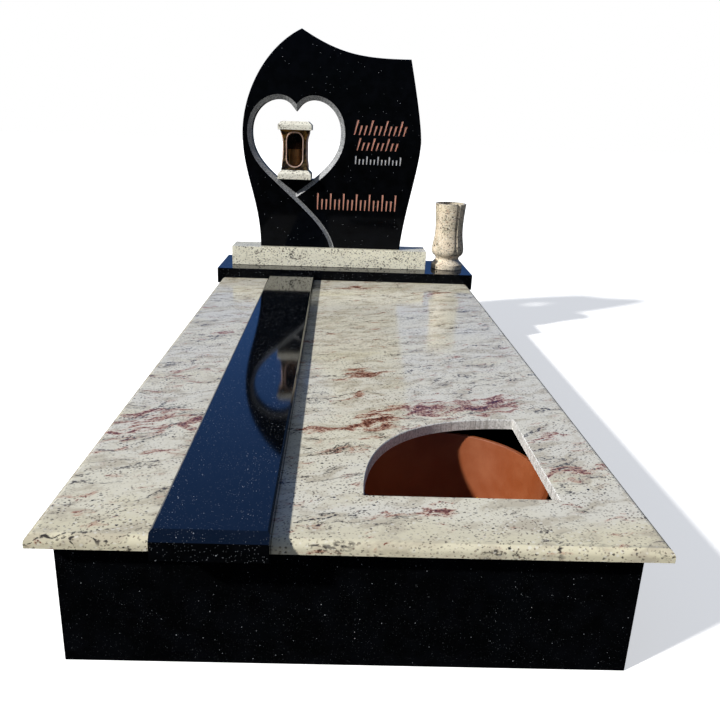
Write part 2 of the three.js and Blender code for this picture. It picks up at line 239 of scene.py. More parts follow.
def wandering(tree, place, scale, reach):
    """The place, pushed about by a noise."""
    push = node(tree, "ShaderNodeTexNoise", {"Vector": place, "Scale": scale, "Detail": 2}).outputs[1]
    about_zero = {0: push, 1: (0.5, 0.5, 0.5)}
    push = node(tree, "ShaderNodeVectorMath", about_zero, operation="SUBTRACT").outputs[0]
    added = {0: push, 1: (reach, reach, reach), 2: place}
    return node(tree, "ShaderNodeVectorMath", added, operation="MULTIPLY_ADD").outputs[0]


def red_zones(tree, place):
    """Up to 1 in the patches of red veins, 0 well away from them."""
    zones = 0.0
    for x, y, half_length, half_width, strength in RED_PATCHES:
        inputs = {"Vector": place, "Location": (x, y, 0), "Rotation": (0, 0, GRAIN_TURN),
                  "Scale": (half_length, half_width, 1)}
        local = node(tree, "ShaderNodeMapping", inputs, vector_type="TEXTURE").outputs[0]
        flat = node(tree, "ShaderNodeVectorMath", {0: local, 1: (1, 1, 0)}, operation="MULTIPLY")
        away = node(tree, "ShaderNodeVectorMath", {0: flat.outputs[0]}, operation="LENGTH").outputs["Value"]
        zones = maths(tree, "MAXIMUM", zones, fade(tree, away, 1.35, 0.2, most=strength))
    return zones


def cream_granite(name, tones=(CREAM, PALE_GREY), grained=GRAINS, red=1.0, ochre=0.5, cloud=0.8, grain=1.0,
                  front_ochre=False):
    """Polished cream granite. Its tones, its grains and their size differ from block to block."""
    material, tree = new_material(name, roughness=0.12, Specular_IOR_Level=0.25)
    spot = place_in(tree)
    place = wandering(tree, spot, scale=12, reach=0.06)
    broad = along_grain(tree, place, stretch=2.5)
    streaky = along_grain(tree, place, stretch=3.6)
    flecky = along_grain(tree, wandering(tree, spot, 320 / grain, 0.004 * grain), stretch=1.35)

    # The ground, with ochre tints and beige clouds
    colour = laid_over(tree, fade(tree, noise(tree, broad, scale=5), 0.38, 0.62), *tones)
    warmth = noise(tree, broad, scale=9, detail=4)
    warm = fade(tree, warmth, 0.65 - 0.25 * ochre, 0.85 - 0.25 * ochre, most=ochre)
    if front_ochre:
        depth = node(tree, "ShaderNodeSeparateXYZ", {"Vector": place}).outputs["Y"]
        front = fade(tree, depth, FRONT_OCHRE["starts"], FRONT_OCHRE["full"], most=FRONT_OCHRE["share"])
        warm = maths(tree, "MAXIMUM", warm, front)
    colour = laid_over(tree, warm, colour, OCHRE)
    cloudy = noise(tree, broad, scale=34 / grain, detail=4, roughness=0.6)
    colour = laid_over(tree, fade(tree, cloudy, 0.46, 0.64, most=cloud), colour, BEIGE)

    # A rose tint round the red veins
    zones = red_zones(tree, place)
    vein_noise = noise(tree, streaky, scale=52, detail=5, roughness=0.65)
    veined = maths(tree, "ADD", vein_noise, maths(tree, "MULTIPLY", zones, 0.20 * red))
    colour = laid_over(tree, fade(tree, veined, 0.58, 0.70, most=0.85 * red), colour, ROSE)

    # The grains, which crowd in some places
    crowded = fade(tree, noise(tree, broad, scale=22 / grain, detail=3), 0.32, 0.62, least=0.35)
    for spacing, size, share, strength, tint in grained:
        spots, chance = grains(tree, flecky, spacing * grain, size * grain, share)
        shown = maths(tree, "MULTIPLY", spots, fade(tree, chance, 0, 0.5, least=0.4, most=strength))
        colour = laid_over(tree, maths(tree, "MULTIPLY", shown, crowded), colour, tint)

    # The wine-red veins, speckled and darker in their middle
    specks = noise(tree, flecky, scale=230 / grain, detail=2, roughness=0.5)
    peppered = maths(tree, "MULTIPLY", maths(tree, "SUBTRACT", specks, 0.5), 0.55)
    wine = maths(tree, "ADD", veined, peppered)
    colour = laid_over(tree, fade(tree, wine, 0.665, 0.72, most=0.9 * red), colour, WINE)
    colour = laid_over(tree, fade(tree, wine, 0.76, 0.82, most=0.9 * red), colour, DEEP_WINE)

    # Thin dark veins, broken and ragged
    winding = noise(tree, streaky, scale=17, detail=4, roughness=0.6)
    line = maths(tree, "ABSOLUTE", maths(tree, "SUBTRACT", winding, 0.5))
    broken = fade(tree, noise(tree, broad, scale=17, detail=3), 0.47, 0.58)
    ragged = fade(tree, specks, 0.38, 0.54)
    vein = maths(tree, "MULTIPLY", fade(tree, line, 0.020, 0.006), maths(tree, "MULTIPLY", broken, ragged))
    colour = laid_over(tree, vein, colour, DARK_GRAIN)
    finish(tree, colour, roughness=fade(tree, cloudy, 0.3, 0.7, least=0.10, most=0.16))
    return material


def sawn_cream():
    """Sawn and unpolished, with upright saw marks: the walls of the cut-out."""
    material, tree = new_material("sawn cream granite", roughness=0.5)
    place = place_in(tree)
    mottle = noise(tree, place, scale=260)
    colour = laid_over(tree, fade(tree, mottle, 0.4, 0.7), SAWN_PALE, SAWN_GREY)
    upright = node(tree, "ShaderNodeMapping", {"Vector": place, "Scale": (1, 1, 0.06)}).outputs[0]
    marks = fade(tree, noise(tree, upright, scale=210), 0.5, 0.68, most=0.6)
    colour = laid_over(tree, marks, colour, SAW_MARK)
    finish(tree, colour, bump=mottle, depth=0.0006)
    return material


def pick_edges(piece, wanted):
    """Selects the edges whose two ends pass a test, and leaves the piece in edit mode."""
    select_only(piece)
    bpy.ops.object.mode_set(mode="EDIT")
    bpy.ops.mesh.select_mode(type="EDGE")
    bpy.ops.mesh.select_all(action="DESELECT")
    bpy.ops.object.mode_set(mode="OBJECT")
    corners = piece.data.vertices
    for edge in piece.data.edges:
        edge.select = wanted(*(corners[i].co for i in edge.vertices))
    bpy.ops.object.mode_set(mode="EDIT")


def from_points(name, points, edges, faces):
    """A piece made of points, left in edit mode with all of it selected."""
    mesh = bpy.data.meshes.new(name)
    mesh.from_pydata([tuple(point) for point in points], edges, faces)
    piece = bpy.data.objects.new(name, mesh)
    bpy.context.scene.collection.objects.link(piece)
    select_only(piece)
    bpy.ops.object.mode_set(mode="EDIT")
    bpy.ops.mesh.select_all(action="SELECT")
    return piece


def close_up(merged_within):
    """Merges the points of what is selected, turns its faces outwards and leaves edit mode."""
    bpy.ops.mesh.remove_doubles(threshold=merged_within)
    bpy.ops.mesh.normals_make_consistent(inside=False)
    bpy.ops.object.mode_set(mode="OBJECT")


def loft(name, rings, ends="capped"):
    """A closed solid through rings of points, as many in each. Its two ends are capped or joined."""
    count = len(rings[0])
    last = (len(rings) - 1) * count
    whole = last + count
    starts = range(0, last if ends == "capped" else whole, count)
    faces = [(r + i, r + (i + 1) % count, (r + count) % whole + (i + 1) % count, (r + count) % whole + i)
             for r in starts for i in range(count)]
    if ends == "capped":
        faces += [tuple(range(count)), tuple(range(last, whole))]
    piece = from_points(name, [point for ring in rings for point in ring], [], faces)
    close_up(merged_within=1e-6)
    return piece


def drawn_in(outline, distance):
    """A ring of flat points, run anticlockwise, moved in by a distance and mitred at its corners."""
    moved = []
    for before, here, after in zip(outline[-1:] + outline[:-1], outline, outline[1:] + outline[:1]):
        arriving = (here - before).normalized()
        leaving = (after - here).normalized()
        inward = Vector((-arriving.y - leaving.y, arriving.x + leaving.x)).normalized()
        spread = inward.dot(Vector((-arriving.y, arriving.x)))
        moved.append(here + inward * (distance / spread))
    return moved


def curve(start, first_handle, second_handle, end, steps):
    """Points along a curve, without its start."""
    ends = [Vector(point) for point in (start, first_handle, second_handle, end)]
    return interpolate_bezier(*ends, steps + 1)[1:]


def cut(piece, tool, operation="DIFFERENCE"):
    """Cuts a piece by a tool, whose finish the cut faces take, or joins the two. The tool is used up."""
    boolean = piece.modifiers.new("cut", "BOOLEAN")
    boolean.operation = operation
    boolean.solver = "EXACT"
    boolean.material_mode = "TRANSFER"
    boolean.object = tool
    select_only(piece)
    bpy.ops.object.modifier_apply(modifier="cut")
    bpy.data.objects.remove(tool)


def cover_slab(name, low, high, outer):
    """A slab with its nose along the front and along its outer side."""
    slab = block(name, low, high)
    top = high.z - NOSE / 2

    def shows(start, end):
        on_front = max(start.y, end.y) < low.y + NOSE
        on_side = max(abs(start.x - outer), abs(end.x - outer)) < NOSE
        return min(start.z, end.z) > top and (on_front or on_side)

    pick_edges(slab, shows)
    bpy.ops.mesh.bevel(offset=NOSE, segments=10, affect="EDGES")
    bpy.ops.object.mode_set(mode="OBJECT")
    return slab


def cutout_tool(top, nose_line):
    """The cut-out's prism, opening out at the top for the arris."""
    left, front = CUTOUT["left"], nose_line + CUTOUT["front"]
    right, back = left + CUTOUT["width"], front + CUTOUT["depth"]
    first = (left + CUTOUT["width"] / 3, back)
    second = (left, front + CUTOUT["depth"] * 2 / 3)
    corners = [Vector(point) for point in ((left, front), (right, front), (right, back))]
    outline = corners + curve(corners[2], first, second, corners[0], steps=64)[:-1]
    arris = CUTOUT["arris"]
    grown = drawn_in(outline, -2 * arris)
    rings = [(outline, -2 * AIR), (outline, -arris), (grown, arris)]
    tool = loft("cut-out", [[(p.x, p.y, top + up) for p in ring] for ring, up in rings])
    tool.data.materials.append(sawn_cream())
    return tool


cream_cover = cream_granite("cream granite cover", front_ochre=True)
for side in ("left", "right"):
    low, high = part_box(f"cover_{side}")
    slab = cover_slab(f"{side}_cover_slab", low, high, low.x if side == "left" else high.x)
    slab.data.materials.append(cream_cover)
    if side == "right":
        cut(slab, cutout_tool(high.z, low.y))
    smooth(slab)
    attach(slab, "root")
    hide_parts(f"cover_{side}")

# The strip between the covers: a polished black slab twice as thick as they are, standing proud of them and
# running out past their nose. Its foot end has a broad chamfer, and its long edges a small one.
FOOT_CHAMFER = 0.013
SIDE_CHAMFER = 0.004
STRIP_ARRIS = 0.0005


def slice_off(piece, point, outward):
    """Cuts away what lies outward of a plane and closes the cut."""
    select_only(piece)
    bpy.ops.object.mode_set(mode="EDIT")
    bpy.ops.mesh.select_all(action="SELECT")
    bpy.ops.mesh.bisect(plane_co=point, plane_no=outward, use_fill=True, clear_outer=True)
    bpy.ops.object.mode_set(mode="OBJECT")


flat_black = black_granite("polished black granite, flat", mirror=0.5, sparkle=0.9)


def two_polishes(piece):
    """The faces that face up mirror the sky, and the upright ones stay near black."""
    piece.data.materials.append(upright_black)
    piece.data.materials.append(flat_black)
    for face in piece.data.polygons:
        face.material_index = int(face.normal.z > 0.5)


low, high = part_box("cover_strip")
strip = block("raised_strip", low, high)
slice_off(strip, (low.x, low.y, high.z - FOOT_CHAMFER), (0, -1, 1))
slice_off(strip, (low.x, low.y, high.z - SIDE_CHAMFER), (-1, 0, 1))
slice_off(strip, (high.x, low.y, high.z - SIDE_CHAMFER), (1, 0, 1))
ease(strip, STRIP_ARRIS)
smooth(strip)
two_polishes(strip)
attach(strip, "root")
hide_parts("cover_strip")

# The plinth: a polished black granite slab, 55 mm thick, bedded behind the covers on the kerb's back and
# side walls and on the rib that crosses it. It carries the headstone on its socle, and the vase.
PLINTH_ARRIS = 0.002

low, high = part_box("plinth")
plinth = block("headstone_plinth", low, high)
ease(plinth, PLINTH_ARRIS)
smooth(plinth)
two_polishes(plinth)
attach(plinth, "root")
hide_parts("plinth")

# The socle: a block sawn from cream granite, polished on all sides and glued to the plinth. The headstone
# is glued on it in turn. It is yellower than the covers, and its grains lie closer. Its tones are also
# made paler than the stone's own: painted light that lifts its front face to the brightness of the tops.
SOCLE_ARRIS = 0.0012
# Yellower as the stone is, and paler as painted light on the socle's front face.
YELLOWER_PAINTED_LIGHT = ((0.97, 0.93, 0.74, 1), (0.92, 0.89, 0.72, 1))
CLOSE_GRAINS = (
    (0.0060, 0.0050, 0.50, 0.70, WHITE_GRAIN), (0.0056, 0.0046, 0.75, 0.95, BROWN_GRAIN),
    (0.0080, 0.0056, 0.60, 1.00, DARK_GRAIN), (0.0130, 0.0062, 0.40, 1.00, BLACK_FLECK),
)

low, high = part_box("socle")
socle = block("headstone_socle", low, high)
ease(socle, SOCLE_ARRIS)
smooth(socle)
socle_stone = cream_granite("cream granite socle", YELLOWER_PAINTED_LIGHT, CLOSE_GRAINS, red=0.1, ochre=0.1, cloud=0.2)
socle.data.materials.append(socle_stone)
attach(socle, "root")
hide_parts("socle")

# The headstone: a polished black slab, 60 mm thick, its outline sawn in sweeping curves. A heart is sawn
# through it above a flat shelf and has a bevel ground round it, which runs on as a curved tail. Rows of
# shallow strokes are carved into the face and leafed in copper and silver.
OUTLINE_START = (0.201, 0)  # X, and height above the stone's bed, as in all that is drawn on the stone
# The two handles and the end of each curve: right flank, right arm, crown, left arm, left flank
OUTLINE = (
    ((0.209, 0.130), (0.259, 0.300), (0.259, 0.383)),
    ((0.259, 0.447), (0.221, 0.606), (0.208, 0.664)),
    ((0.030, 0.661), (-0.047, 0.677), (-0.174, 0.751)),
    ((-0.303, 0.688), (-0.382, 0.536), (-0.382, 0.398)),
    ((-0.382, 0.256), (-0.318, 0.166), (-0.318, 0)),
)
STONE_ARRIS = 0.0012
SHELF = 0.247
HEART_MIDDLE = -0.190
HEART_HALF = 0.175
HEART_TIP = 0.180
# The right half of the heart, from its tip: handles and end of each curve, across as a share of its half
HEART_SIDE = (((0.58, 0.252), (1, 0.311), (1, 0.407)), ((1, 0.524), (0.3, 0.573), (0, 0.505)))
HEART_BEVEL = {"width": 0.015, "depth": 0.012}
TAIL = ((-0.279, 0.258), (-0.158, 0.146), (-0.066, 0.080), (-0.051, -0.010))
TAIL_WIDTH = 0.0145
TAIL_DEPTH = 0.008
TAIL_DEEPEST = 0.55  # where the tail is deepest, as a share of the way from its middle to its upper edge
# The rows of strokes, from the top down, and below them each row's leaf
ROWS = (
    {"left": 0.015, "right": 0.220, "bottom": 0.408, "height": 0.051, "strokes": 11, "slant": 0.22},
    {"left": 0.027, "right": 0.191, "bottom": 0.355, "height": 0.043, "strokes": 9, "slant": 0.22},
    {"left": 0.023, "right": 0.198, "bottom": 0.306, "height": 0.029, "strokes": 13, "slant": 0},
    {"left": -0.112, "right": 0.189, "bottom": 0.141, "height": 0.059, "strokes": 19, "slant": 0},
)
ROW_LEAF = ("copper", "copper", "silver", "copper")
LEAF = {"copper": (0.90, 0.46, 0.32, 1), "silver": (0.85, 0.83, 0.80, 1)}
LEAF_WORN = 0.7  # how bright worn leaf is, as a share of whole leaf
# A stroke: its depth, its width at the top as a share of the pitch, a low one's height as a share of a tall
# one's, its width at the foot as a share of the top's, and how many strokes there are to a tall one
STROKE = {"depth": 0.001, "stem": 0.42, "low": 0.64, "taper": 0.6, "tall_every": 3}
GROUND_DARK = (0.13, 0.135, 0.14, 1)
GROUND_PALE = (0.46, 0.47, 0.48, 1)


def ground_granite():
    """Black granite ground matt, which makes it grey."""
    material, tree = new_material("ground granite", roughness=0.5)
    place = place_in(tree)
    speckle = noise(tree, place, scale=300, detail=2)
    colour = laid_over(tree, fade(tree, speckle, 0.35, 0.7), GROUND_DARK, GROUND_PALE)
    finish(tree, colour, bump=speckle, depth=0.0004)
    return material


def leaf(name, colour):
    """Metal leaf on the rough floor of a stroke."""
    material, tree = new_material(f"{name} leaf", roughness=0.45, Metallic=0.4)
    wear = noise(tree, place_in(tree), scale=500)
    worn = tuple(LEAF_WORN * value for value in colour[:3]) + (1,)
    finish(tree, laid_over(tree, fade(tree, wear, 0.35, 0.65), worn, colour), bump=wear, depth=0.0003)
    return material


def stone_ring(points, depth):
    """Flat points drawn on the headstone, as points at a depth behind its face."""
    return [(p[0], stone_face + depth, stone_bed + p[1]) for p in points]


def stone_outline():
    """The headstone's outline, from its right lower corner anticlockwise."""
    outline = [Vector(OUTLINE[-1][-1]), Vector(OUTLINE_START)]
    for first, second, end in OUTLINE:
        outline += curve(outline[-1], first, second, end, steps=40)
    return outline[1:]


def heart_outline():
    """The bevel's outer edge, from the tip up the right side, over the notch and down the left."""
    def at(share, height):
        return Vector((share * HEART_HALF, height))

    right = [at(0, HEART_TIP)]
    for first, second, end in HEART_SIDE:
        right += curve(right[-1], at(*first), at(*second), at(*end), steps=48)
    left = [Vector((-p.x, p.y)) for p in right[-2:0:-1]]
    return right + left


def heart_inside(outer):
    """The bevel's inner edge. Near the tip, what would cross the heart's middle is held at it."""
    inner = drawn_in(outer, HEART_BEVEL["width"])
    tip = inner[0]
    return [tip if move.x * edge.x < 0 or (edge.y < tip.y and move.y < tip.y) else move
            for edge, move in zip(outer, inner)]


def in_place(points):
    """Points of the heart, drawn about its middle, moved to where it is on the stone."""
    return [Vector((p.x + HEART_MIDDLE, p.y)) for p in points]


def heart_prism(name, inner, thickness, keep_above):
    """The part of the heart inside the bevel, through the stone, above or below the shelf."""
    prism = loft(name, [stone_ring(inner, -AIR), stone_ring(inner, thickness + AIR)])
    slice_off(prism, (0, 0, stone_bed + SHELF), (0, 0, -1 if keep_above else 1))
    return prism


def tail_tool():
    """The tail's groove: its floor slopes in from the lower left and ends in a small steep wall."""
    path = [Vector(TAIL[0])] + curve(*TAIL, steps=48)
    rings = []
    for i, here in enumerate(path):
        along = (path[min(i + 1, len(path) - 1)] - path[max(i - 1, 0)]).normalized()
        up_right = Vector((-along.y, along.x)) * (TAIL_WIDTH / 2)
        low_edge, high_edge, deepest = here - up_right, here + up_right, here + up_right * TAIL_DEEPEST
        ring = ((low_edge, -AIR), (low_edge, 0), (deepest, TAIL_DEPTH), (high_edge, 0), (high_edge, -AIR))
        rings.append([stone_ring([point], depth)[0] for point, depth in ring])
    return loft("tail groove", rings)


def stroke_tool(left, bottom, width, height, slant):
    """A tool for one stroke, narrower at its foot and leaning to the right by its slant."""
    lean = height * slant
    corners = ((left, bottom), (left + width * STROKE["taper"], bottom),
               (left + lean + width, bottom + height), (left + lean, bottom + height))
    return loft("stroke", [stone_ring(corners, -AIR), stone_ring(corners, STROKE["depth"])])


def row_tool(rows):
    """The strokes of some rows, tall and low in turn, as one tool."""
    marks = []
    for row in rows:
        pitch = (row["right"] - row["left"] - row["height"] * row["slant"]) / row["strokes"]
        for i in range(row["strokes"]):
            share = 1 if i % STROKE["tall_every"] == 0 else STROKE["low"]
            marks.append(stroke_tool(row["left"] + i * pitch, row["bottom"], pitch * STROKE["stem"],
                                     row["height"] * share, row["slant"]))
    select_only(marks[0])
    for mark in marks:
        mark.select_set(True)
    bpy.ops.object.join()
    return bpy.context.active_object


low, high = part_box("headstone")
stone_face, stone_bed, thickness = low.y, low.z, high.y - low.y
outline = stone_outline()
stone = loft("headstone_slab", [stone_ring(outline, 0), stone_ring(outline, thickness)])
ease(stone, STONE_ARRIS, sharper_than=60)
stone_black = black_granite("polished black granite, headstone", mirror=0.12, sparkles=SPARKLES[2:])
stone.data.materials.append(stone_black)
matt_granite = ground_granite()
outer = heart_outline()
inner = heart_inside(outer)
outer, inner = in_place(outer), in_place(inner)
bevel = loft("heart bevel", [stone_ring(outer, -AIR), stone_ring(outer, 0),
                             stone_ring(inner, HEART_BEVEL["depth"])])
bevel.data.materials.append(matt_granite)
core = heart_prism("heart core", inner, thickness, keep_above=False)
core.data.materials.append(matt_granite)
cut(bevel, core)
opening = heart_prism("heart opening", inner, thickness, keep_above=True)
opening.data.materials.append(stone_black)
tail = tail_tool()
tail.data.materials.append(matt_granite)
for tool in (bevel, opening, tail):
    cut(stone, tool)
for name, colour in LEAF.items():
    tool = row_tool([row for row, kind in zip(ROWS, ROW_LEAF) if kind == name])
    tool.data.materials.append(leaf(name, colour))
    cut(stone, tool)
smooth(stone)
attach(stone, "root")
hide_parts("headstone")

# The lantern's foot and cap: two squares of cream granite with their upper edges ground to a slope. The
# foot stands on the heart's shelf, and the cap lies loose on the body.
SLOPE = {"inset": 0.012, "from": 0.6}  # how far it comes in, and where it starts as a share of the height
SQUARE_ARRIS = 0.0015
PALER = ((0.90, 0.88, 0.76, 1), (0.84, 0.82, 0.72, 1))

lantern_stone = cream_granite("cream granite lantern", PALER, CLOSE_GRAINS, red=0, ochre=0.1, cloud=0.2,
                              grain=0.9)
for end in ("foot", "cap"):
    low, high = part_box(f"lantern_{end}")
    shoulder = low.z + (high.z - low.z) * SLOPE["from"]
    square = block(f"lantern_{end}_stone", low, Vector((high.x, high.y, shoulder)))
    pick_edges(square, lambda start, end: min(start.z, end.z) > (low.z + shoulder) / 2)
    bpy.ops.mesh.select_mode(type="FACE")
    bpy.ops.mesh.extrude_region_move(TRANSFORM_OT_translate={"value": (0, 0, high.z - shoulder)})
    shrink = 1 - 2 * SLOPE["inset"] / (high.x - low.x)
    bpy.ops.transform.resize(value=(shrink, shrink, 1))
    bpy.ops.object.mode_set(mode="OBJECT")
    ease(square, SQUARE_ARRIS, segments=3, sharper_than=20)
    smooth(square)
    square.data.materials.append(lantern_stone)
    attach(square, "root")
    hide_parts(f"lantern_{end}")

# The lantern's body: cast bronze, hollow, drawn in at the waist and flared to the top, with an oblong
# window in a raised bead on each side. It stands on the foot.
BODY_WIDTHS = (  # across the flats, and the share of the height
    (0.097, 0), (0.086, 0.20), (0.079, 0.48), (0.082, 0.74), (0.090, 0.85), (0.105, 1),
)
BODY_WALL = 0.004
PAST_ENDS = 0.01  # how far the tool that hollows the body runs past its ends
# A window: its size, its bottom's height, its bead's width, how far the bead's back lies from the lantern's
# middle, and the power that flattens the curve of its top
WINDOW = {"width": 0.055, "height": 0.116, "sill": 0.012, "bead": 0.0044, "back": 0.0318, "top": 0.72}
WINDOW_TOOL = (0.01, 0.08)  # from where to where it reaches, out of the lantern's middle
# The bead's section, from its outer side to its inner one: its share across, and how far it stands proud
BEAD_ROUND = ((1, 0.0005), (0.9, 0.0022), (0.7, 0.0033), (0.45, 0.0036), (0.2, 0.0028), (0.05, 0.0012))
PATINA = (0.018, 0.009, 0.004, 1)
WORN_BRONZE = (0.36, 0.19, 0.05, 1)
DULL_BEAD = (0.62, 0.41, 0.31, 1)
BRIGHT_BEAD = (0.92, 0.68, 0.54, 1)


def bronze(name, dark, bright, roughness, metallic=0.85):
    """Patinated bronze, worn bright on what stands out."""
    material, tree = new_material(name, roughness=roughness, Metallic=metallic)
    wear = noise(tree, place_in(tree), scale=55, detail=5, roughness=0.6)
    colour = laid_over(tree, fade(tree, wear, 0.4, 0.68), dark, bright)
    finish(tree, colour, bump=wear, depth=0.0006)
    return material


def smooth_profile(points, steps):
    """A curve run smoothly through points, with some steps between each two."""
    points = [Vector(point) for point in points]
    run = [points[0]]
    for i in range(len(points) - 1):
        before, start, end, after = (points[max(0, min(j, len(points) - 1))] for j in range(i - 1, i + 3))
        run += curve(start, start + (end - before) / 6, end - (after - start) / 6, end, steps)
    return run


def bottom_middle(low, high):
    """The middle of a box's underside."""
    return Vector(((low.x + high.x) / 2, (low.y + high.y) / 2, low.z))


def square_ring(half, up):
    """The corners of a level square about the lantern's middle."""
    return [(lantern_middle.x + sx * half, lantern_middle.y + sy * half, lantern_middle.z + up)
            for sx, sy in ((-1, -1), (1, -1), (1, 1), (-1, 1))]


def oblong(rim, steps=16):
    """A window's outline, grown by a rim: round at the bottom and flatter at the top."""
    radius = WINDOW["width"] / 2 + rim
    low_end = WINDOW["sill"] + WINDOW["width"] / 2
    high_end = WINDOW["sill"] + WINDOW["height"] - WINDOW["width"] / 2
    ring = []
    for start, level, power in ((pi, low_end, 1), (0, high_end, WINDOW["top"])):
        for i in range(steps + 1):
            across, up = cos(start + pi * i / steps), sin(start + pi * i / steps)
            ring.append((radius * abs(across) ** power * (1 if across > 0 else -1), level + radius * up))
    return ring


def half_width(up):
    """Half the body's width at a height."""
    for below, above in zip(profile, profile[1:]):
        if up <= above.y:
            return below.x + (above.x - below.x) * (up - below.y) / (above.y - below.y)
    return profile[-1].x


def on_side(piece, turn):
    """Turns what is modelled for the front to one side of the lantern, and gives it the bead's finish."""
    piece.data.transform(Matrix.Translation(lantern_middle) @ Matrix.Rotation(turn, 4, "Z"))
    piece.data.materials.append(bead_bronze)
    return piece


def window_bead(turn):
    """A raised bead round a window, which follows the body's waist and reaches in as far as the pane."""
    section = ((1, None),) + BEAD_ROUND + ((0, None),)
    rings = []
    for share, proud in section:
        rings.append([(across, -(WINDOW["back"] if proud is None else half_width(up) + proud), up)
                      for across, up in oblong(share * WINDOW["bead"])])
    return on_side(loft("bead", rings, ends="joined"), turn)


def window_tool(turn):
    """The tool that opens a window in the body's wall. Its outline runs down the middle of the bead."""
    rings = [[(across, -out, up) for across, up in oblong(WINDOW["bead"] / 2)] for out in WINDOW_TOOL]
    return on_side(loft("window", rings), turn)


low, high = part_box("lantern_body")
lantern_middle = bottom_middle(low, high)
body_height = high.z - low.z
profile = smooth_profile([(width / 2, share * body_height) for width, share in BODY_WIDTHS], steps=6)
body_bronze = bronze("dark bronze", PATINA, WORN_BRONZE, roughness=0.36)
bead_bronze = bronze("bright bronze bead", DULL_BEAD, BRIGHT_BEAD, roughness=0.45, metallic=0.45)
body = loft("lantern_body_casting", [square_ring(half, up) for half, up in profile])
body.data.materials.append(body_bronze)
past_ends = [(profile[0].x, -PAST_ENDS), *profile, (profile[-1].x, body_height + PAST_ENDS)]
hollow = loft("hollow", [square_ring(half - BODY_WALL, up) for half, up in past_ends])
hollow.data.materials.append(body_bronze)
cut(body, hollow)
turns = [quarter * pi / 2 for quarter in range(4)]
for turn in turns:
    cut(body, window_tool(turn))
for turn in turns:
    cut(body, window_bead(turn), "UNION")
smooth(body, angle=35)
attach(body, "root")
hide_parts("lantern_body")

# The panes: four sheets of smoked glass that stand inside the windows, on the lantern's foot. The front one
# shows the candle. The others are made nearly opaque, the back one most: painted shade that keeps the
# lantern's inside dark.
PANE_HEIGHT = 0.131
PANE_ARRIS = 0.0004
# How opaque each pane is. Past the front pane's smoked glass, this is painted shade inside the lantern.
PANE_ALPHA_AND_PAINTED_SHADE = {"front": 0.34, "right": 0.7, "back": 0.985, "left": 0.7}
SMOKE = (0.006, 0.003, 0.002, 1)
AMBER = (0.024, 0.010, 0.005, 1)

for side, alpha in PANE_ALPHA_AND_PAINTED_SHADE.items():
    low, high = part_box(f"lantern_pane_{side}")
    pane = block(f"{side}_window_pane", low, Vector((high.x, high.y, low.z + PANE_HEIGHT)))
    ease(pane, PANE_ARRIS, segments=1)
    material, tree = new_material(f"smoked glass {side}", roughness=0.05, Specular_IOR_Level=0.2,
                                  Alpha=alpha)
    smoke_tint = noise(tree, place_in(tree), scale=40)
    finish(tree, laid_over(tree, fade(tree, smoke_tint, 0.4, 0.7), SMOKE, AMBER))
    pane.data.materials.append(material)
    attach(pane, "root")
    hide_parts(f"lantern_pane_{side}")

# The candle: a moulded amber cup with wax in it and a wick, which stands on the foot inside the body. It is
# bright enough to be seen through the front pane, where it looks brown.
CUP_FOOT = 0.022
CUP_EDGE = 0.001
CUP_LIP = ((-0.0005, -0.0015), (-0.001, 0), (-0.002, 0), (-0.0025, -0.006))  # from its outside and its top
WAX_AND_WICK = ((0.016, -0.007), (0.006, -0.0075), (0.0012, -0.007), (0.0010, -0.001), (0, -0.001))
DEEP_AMBER = (0.75, 0.34, 0.10, 1)
PALE_AMBER = (0.95, 0.52, 0.18, 1)


def spun(name, profile, centre, steps):
    """A closed solid turned from a profile of radius and height, which starts and ends on the axis."""
    points = [(centre.x + radius, centre.y, centre.z + up) for radius, up in profile]
    piece = from_points(name, points, [(i, i + 1) for i in range(len(points) - 1)], [])
    bpy.ops.mesh.spin(steps=steps, angle=tau, center=centre, axis=(0, 0, 1))
    bpy.ops.mesh.select_all(action="SELECT")
    close_up(merged_within=1e-5)
    return piece


low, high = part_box("lantern_candle")
cup_top, cup_rim = high.z - low.z, (high.x - low.x) / 2
cup_profile = [(0, 0), (CUP_FOOT - CUP_EDGE, 0), (CUP_FOOT, CUP_EDGE)]
cup_profile += [(cup_rim + out, cup_top + up) for out, up in CUP_LIP]
cup_profile += [(radius, cup_top + up) for radius, up in WAX_AND_WICK]
cup = spun("candle_cup", cup_profile, bottom_middle(low, high), steps=64)
material, tree = new_material("candle cup", roughness=0.3)
marbling = noise(tree, place_in(tree), scale=60)
finish(tree, laid_over(tree, fade(tree, marbling, 0.35, 0.7), DEEP_AMBER, PALE_AMBER))
cup.data.materials.append(material)
smooth(cup, angle=35)
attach(cup, "root")
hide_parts("lantern_candle")

# The vase: turned from one block of granite and bored out, with four broad panels carved round it. A groove
# parts each two panels, and their lower ends are rounded. It stands on the plinth.
VASE_PROFILE = (  # the panels' radius and height, from the foot to the rim
    (0.061, 0), (0.061, 0.016), (0.058, 0.020), (0.047, 0.034), (0.046, 0.040), (0.050, 0.047),
    (0.057, 0.057), (0.0595, 0.067), (0.059, 0.080), (0.056, 0.100), (0.053, 0.120), (0.0515, 0.145),
    (0.0517, 0.170), (0.053, 0.195), (0.055, 0.220), (0.0575, 0.243),
)
VASE_WALL = 0.009
VASE_FLOOR = 0.070
VASE_EDGE = {"in": 0.001, "down": 0.0008, "bore": 0.003}  # the rim's outer edge, and the bore's at the rim
# A panel: the first one's turn, how far it stands proud and how deep the groove beside it is, how high its
# lower end lies and how much higher its corners, over what height the end rises, and where the groove starts
PANEL = {"turn": radians(24), "raise": 0.0025, "groove": 0.0035, "lowest": 0.048, "corner": 0.034,
         "slope": 0.0025, "side": 0.86}
WARMER = ((0.82, 0.72, 0.56, 1), (0.70, 0.60, 0.46, 1))


def step(value):
    """0 below 0, 1 above 1, and smooth between."""
    share = max(0.0, min(1.0, value))
    return share * share * (3 - 2 * share)


